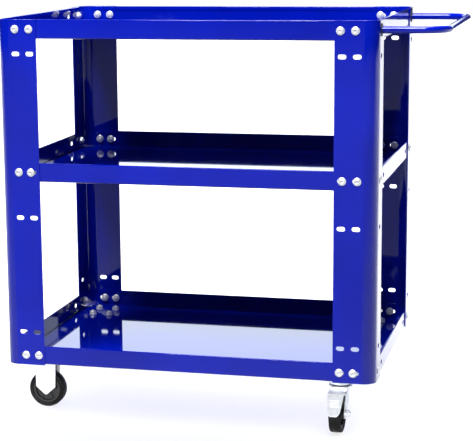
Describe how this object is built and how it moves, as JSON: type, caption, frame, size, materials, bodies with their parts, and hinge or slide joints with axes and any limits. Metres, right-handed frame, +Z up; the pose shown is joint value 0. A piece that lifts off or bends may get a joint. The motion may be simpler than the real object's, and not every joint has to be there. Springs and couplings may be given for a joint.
{
  "type": "tool cart",
  "caption": "Wheeled tool cart with open trays bolted between slotted angle posts, a tube push handle at one end, fixed casters at the other and braked swivel casters under the handle.",
  "frame": {"origin": "on the ground under the middle of the outline's bounding box", "axes": "+X along the cart's length towards the handle, +Y from front to back, +Z up"},
  "size_m": [0.882, 0.5646, 0.797],
  "materials": {
    "blue_enamel": "gloss blue powder coat on folded steel sheet",
    "handle_tube": "gloss blue powder coat on steel tube",
    "black_washer": "black plastic spacer washer",
    "tyre": "solid black rubber",
    "hub_plastic": "moulded black nylon",
    "bush_steel": "plain steel sleeve",
    "black_seal": "black plastic dust ring",
    "ball_steel": "polished steel balls",
    "zinc_plate": "bright zinc plated pressed steel",
    "zinc_fastener": "bright zinc plated steel"
  },
  "bodies": {
    "frame": {"bottom_tray": "blue_enamel", "middle_tray": "blue_enamel", "top_tray": "blue_enamel", "front_left_post": "blue_enamel", "front_right_post": "blue_enamel", "rear_left_post": "blue_enamel", "rear_right_post": "blue_enamel", "bottom_tray_bolts": "zinc_fastener", "bottom_tray_nuts": "zinc_fastener", "middle_tray_bolts": "zinc_fastener", "middle_tray_nuts": "zinc_fastener", "top_tray_bolts": "zinc_fastener", "top_tray_nuts": "zinc_fastener", "push_handle": "handle_tube", "handle_inserts": "zinc_fastener", "handle_washers": "black_washer", "handle_bolts": "zinc_fastener", "front_fixed_bush": "bush_steel", "front_fixed_axle": "zinc_fastener", "front_fixed_axle_nut": "zinc_fastener", "front_fixed_fork": "zinc_plate", "rear_fixed_bush": "bush_steel", "rear_fixed_axle": "zinc_fastener", "rear_fixed_axle_nut": "zinc_fastener", "rear_fixed_fork": "zinc_plate", "caster_bolts": "zinc_fastener", "caster_nuts": "zinc_fastener", "front_swivel_top_plate": "zinc_plate", "front_swivel_kingpin": "zinc_plate", "front_swivel_lower_cup": "zinc_plate", "rear_swivel_top_plate": "zinc_plate", "rear_swivel_kingpin": "zinc_plate", "rear_swivel_lower_cup": "zinc_plate"},
    "front_fixed_wheel": {"front_fixed_hub": "hub_plastic", "front_fixed_tyre": "tyre"},
    "front_swivel": {"front_swivel_fork": "zinc_plate", "front_swivel_upper_balls": "ball_steel", "front_swivel_lower_balls": "ball_steel", "front_swivel_seal": "black_seal", "front_swivel_axle": "zinc_fastener", "front_swivel_axle_nut": "zinc_fastener", "front_swivel_bush": "bush_steel", "front_swivel_pedal_pin": "zinc_fastener"},
    "front_swivel_wheel": {"front_swivel_hub": "hub_plastic", "front_swivel_tyre": "tyre"},
    "front_pedal": {"front_swivel_brake_pedal": "zinc_plate"},
    "rear_fixed_wheel": {"rear_fixed_hub": "hub_plastic", "rear_fixed_tyre": "tyre"},
    "rear_swivel": {"rear_swivel_fork": "zinc_plate", "rear_swivel_upper_balls": "ball_steel", "rear_swivel_lower_balls": "ball_steel", "rear_swivel_seal": "black_seal", "rear_swivel_axle": "zinc_fastener", "rear_swivel_axle_nut": "zinc_fastener", "rear_swivel_bush": "bush_steel", "rear_swivel_pedal_pin": "zinc_fastener"},
    "rear_swivel_wheel": {"rear_swivel_hub": "hub_plastic", "rear_swivel_tyre": "tyre"},
    "rear_pedal": {"rear_swivel_brake_pedal": "zinc_plate"}
  },
  "joints": [
    {"name": "front_fixed_roll", "type": "hinge", "parent": "frame", "child": "front_fixed_wheel", "pos_m": [-0.37454, -0.1801, 0.0375], "axis": [0, 1, 0], "continuous": true},
    {"name": "front_swivel_turn", "type": "hinge", "parent": "frame", "child": "front_swivel", "pos_m": [0.23696, -0.1926, 0.0855], "axis": [0, 0, 1], "continuous": true},
    {"name": "front_swivel_roll", "type": "hinge", "parent": "front_swivel", "child": "front_swivel_wheel", "pos_m": [0.23696, -0.2286, 0.0375], "axis": [1, 0, 0], "continuous": true},
    {"name": "front_brake_press", "type": "hinge", "parent": "front_swivel", "child": "front_pedal", "pos_m": [0.23696, -0.2126, 0.0775], "axis": [1, 0, 0], "range_deg": [0, 8.5]},
    {"name": "rear_fixed_roll", "type": "hinge", "parent": "frame", "child": "rear_fixed_wheel", "pos_m": [-0.37454, 0.2069, 0.0375], "axis": [0, 1, 0], "continuous": true},
    {"name": "rear_swivel_turn", "type": "hinge", "parent": "frame", "child": "rear_swivel", "pos_m": [0.23696, 0.2194, 0.0855], "axis": [0, 0, 1], "continuous": true},
    {"name": "rear_swivel_roll", "type": "hinge", "parent": "rear_swivel", "child": "rear_swivel_wheel", "pos_m": [0.23696, 0.1834, 0.0375], "axis": [1, 0, 0], "continuous": true},
    {"name": "rear_brake_press", "type": "hinge", "parent": "rear_swivel", "child": "rear_pedal", "pos_m": [0.23696, 0.1994, 0.0775], "axis": [1, 0, 0], "range_deg": [0, 8.5]}
  ]
}
